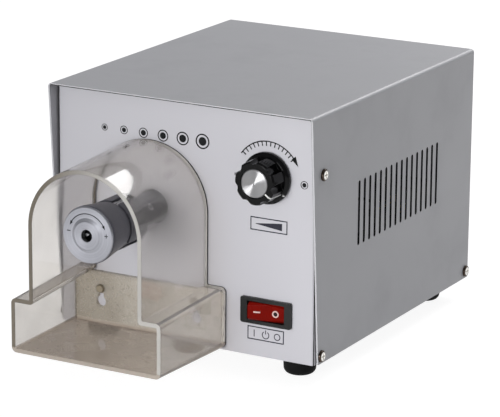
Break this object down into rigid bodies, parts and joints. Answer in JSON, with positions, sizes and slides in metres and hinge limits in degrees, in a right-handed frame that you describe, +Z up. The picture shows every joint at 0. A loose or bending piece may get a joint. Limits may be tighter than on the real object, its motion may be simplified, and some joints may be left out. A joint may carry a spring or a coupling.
{
  "type": "enamelled wire stripping machine",
  "caption": "Bench machine that scrapes the enamel off winding wire: sheet-metal case with motor, adjustable bladed head, clear arch guard with chip tray, speed knob and rocker switch.",
  "frame": {"origin": "on the bench, under the middle of the whole machine", "axes": "+Z up, +X to the right as seen from the front, +Y from the head into the case"},
  "size_m": [0.1648, 0.2612, 0.1475],
  "materials": {
    "panel_paint": "light silver grey, semi-gloss",
    "cover_paint": "silver grey, fine satin",
    "chrome": "bright plated",
    "zinc": "zinc plated",
    "rubber": "matt black",
    "steel": "ground",
    "bracket_steel": "black paint",
    "motor_case": "black, satin",
    "cast_aluminium": "as cast",
    "magnet": "sintered, matt",
    "lamination": "stacked sheet",
    "copper": "enamelled copper",
    "commutator_copper": "turned copper",
    "carbon": "pressed carbon",
    "black_steel": "blackened, satin",
    "hard_metal": "ground",
    "satin_steel": "satin chrome",
    "clear_plastic": "clear, light smoke tint",
    "black_plastic": "black, semi-gloss",
    "knob_aluminium": "spun",
    "red_plastic": "red, glossy",
    "brass": "plain",
    "board": "green laminate",
    "black_aluminium": "black anodised",
    "epoxy": "moulded",
    "sleeve_blue": "shrink sleeve",
    "wire_sheath": "PVC",
    "fuse_glass": "glass with nickel caps"
  },
  "bodies": {
    "case": {"chassis": "panel_paint", "top_cover": "cover_paint", "cover_screws": "chrome", "rubber_feet": "rubber", "foot_screws": "zinc", "small_nuts": "zinc", "motor_bracket": "bracket_steel", "bracket_screws": "zinc", "motor_screws": "zinc", "motor_front_bell": "cast_aluminium", "motor_can": "motor_case", "motor_magnets": "magnet", "motor_rear_bell": "cast_aluminium", "carbon_brushes": "carbon", "brush_caps": "black_plastic", "bearing_outer_rings": "steel", "bearing_balls": "hard_metal", "guard_screws": "chrome", "speed_pot": "zinc", "pot_nut": "zinc", "switch_housing": "black_plastic", "switch_terminals": "brass", "power_inlet": "black_plastic", "inlet_pins": "brass", "inlet_screws": "zinc", "control_board": "board", "board_posts": "brass", "board_screws": "zinc", "heatsink": "black_aluminium", "power_transistor": "epoxy", "filter_capacitor": "sleeve_blue", "earth_tag": "brass", "lead_wires": "wire_sheath"},
    "spindle": {"motor_shaft": "steel", "armature_core": "lamination", "armature_windings": "copper", "commutator": "commutator_copper", "bearing_inner_rings": "steel", "spindle_hub": "black_steel", "hub_grub_screws": "chrome", "head_body": "black_steel", "pivot_pins": "steel", "return_ring": "steel"},
    "adjusting_cap": {"adjusting_sleeve": "black_steel", "face_disc": "satin_steel"},
    "guard": {"clear_guard": "clear_plastic"},
    "knob": {"speed_knob": "black_plastic", "knob_cap": "knob_aluminium", "knob_grub_screw": "zinc", "pot_shaft": "cast_aluminium"},
    "rocker": {"switch_rocker": "red_plastic"},
    "drawer": {"fuse_drawer": "black_plastic", "fuse": "fuse_glass"},
    "blade_lever_1": {"blade_arm_1": "steel", "blade_1": "hard_metal"},
    "blade_lever_2": {"blade_arm_2": "steel", "blade_2": "hard_metal"},
    "blade_lever_3": {"blade_arm_3": "steel", "blade_3": "hard_metal"}
  },
  "joints": [
    {"name": "spindle_spin", "type": "hinge", "parent": "case", "child": "spindle", "pos_m": [-0.0205, -0.0946, 0.0845], "axis": [0, 1, 0], "continuous": true},
    {"name": "cap_turn", "type": "hinge", "parent": "spindle", "child": "adjusting_cap", "pos_m": [-0.0205, -0.1196, 0.0845], "axis": [0, 1, 0], "range_deg": [-30, 30]},
    {"name": "blade_1_swing", "type": "hinge", "parent": "spindle", "child": "blade_lever_1", "pos_m": [-0.01812, -0.1026, 0.09339], "axis": [0.9659, 0, -0.2588], "range_deg": [-1.8, 1.8]},
    {"name": "blade_2_swing", "type": "hinge", "parent": "spindle", "child": "blade_lever_2", "pos_m": [-0.014, -0.1026, 0.07799], "axis": [-0.7071, 0, -0.7071], "range_deg": [-1.8, 1.8]},
    {"name": "blade_3_swing", "type": "hinge", "parent": "spindle", "child": "blade_lever_3", "pos_m": [-0.02939, -0.1026, 0.08212], "axis": [-0.2588, 0, 0.9659], "range_deg": [-1.8, 1.8]},
    {"name": "knob_turn", "type": "hinge", "parent": "case", "child": "knob", "pos_m": [0.051, -0.0726, 0.1109], "axis": [0, 1, 0], "range_deg": [-260, 10]},
    {"name": "rocker_tilt", "type": "hinge", "parent": "case", "child": "rocker", "pos_m": [0.0513, -0.0631, 0.037], "axis": [0, 0, -1], "range_deg": [0, 18]},
    {"name": "guard_lift", "type": "slide", "parent": "case", "child": "guard", "axis": [0, 0, 1], "range_m": [0, 0.0074]},
    {"name": "fuse_draw", "type": "slide", "parent": "case", "child": "drawer", "axis": [0, 1, 0], "range_m": [0, 0.015]}
  ],
  "couplings": [
    {"joint": "blade_1_swing", "follows": "cap_turn", "ratio": 0.06},
    {"joint": "blade_2_swing", "follows": "cap_turn", "ratio": 0.06},
    {"joint": "blade_3_swing", "follows": "cap_turn", "ratio": 0.06}
  ]
}
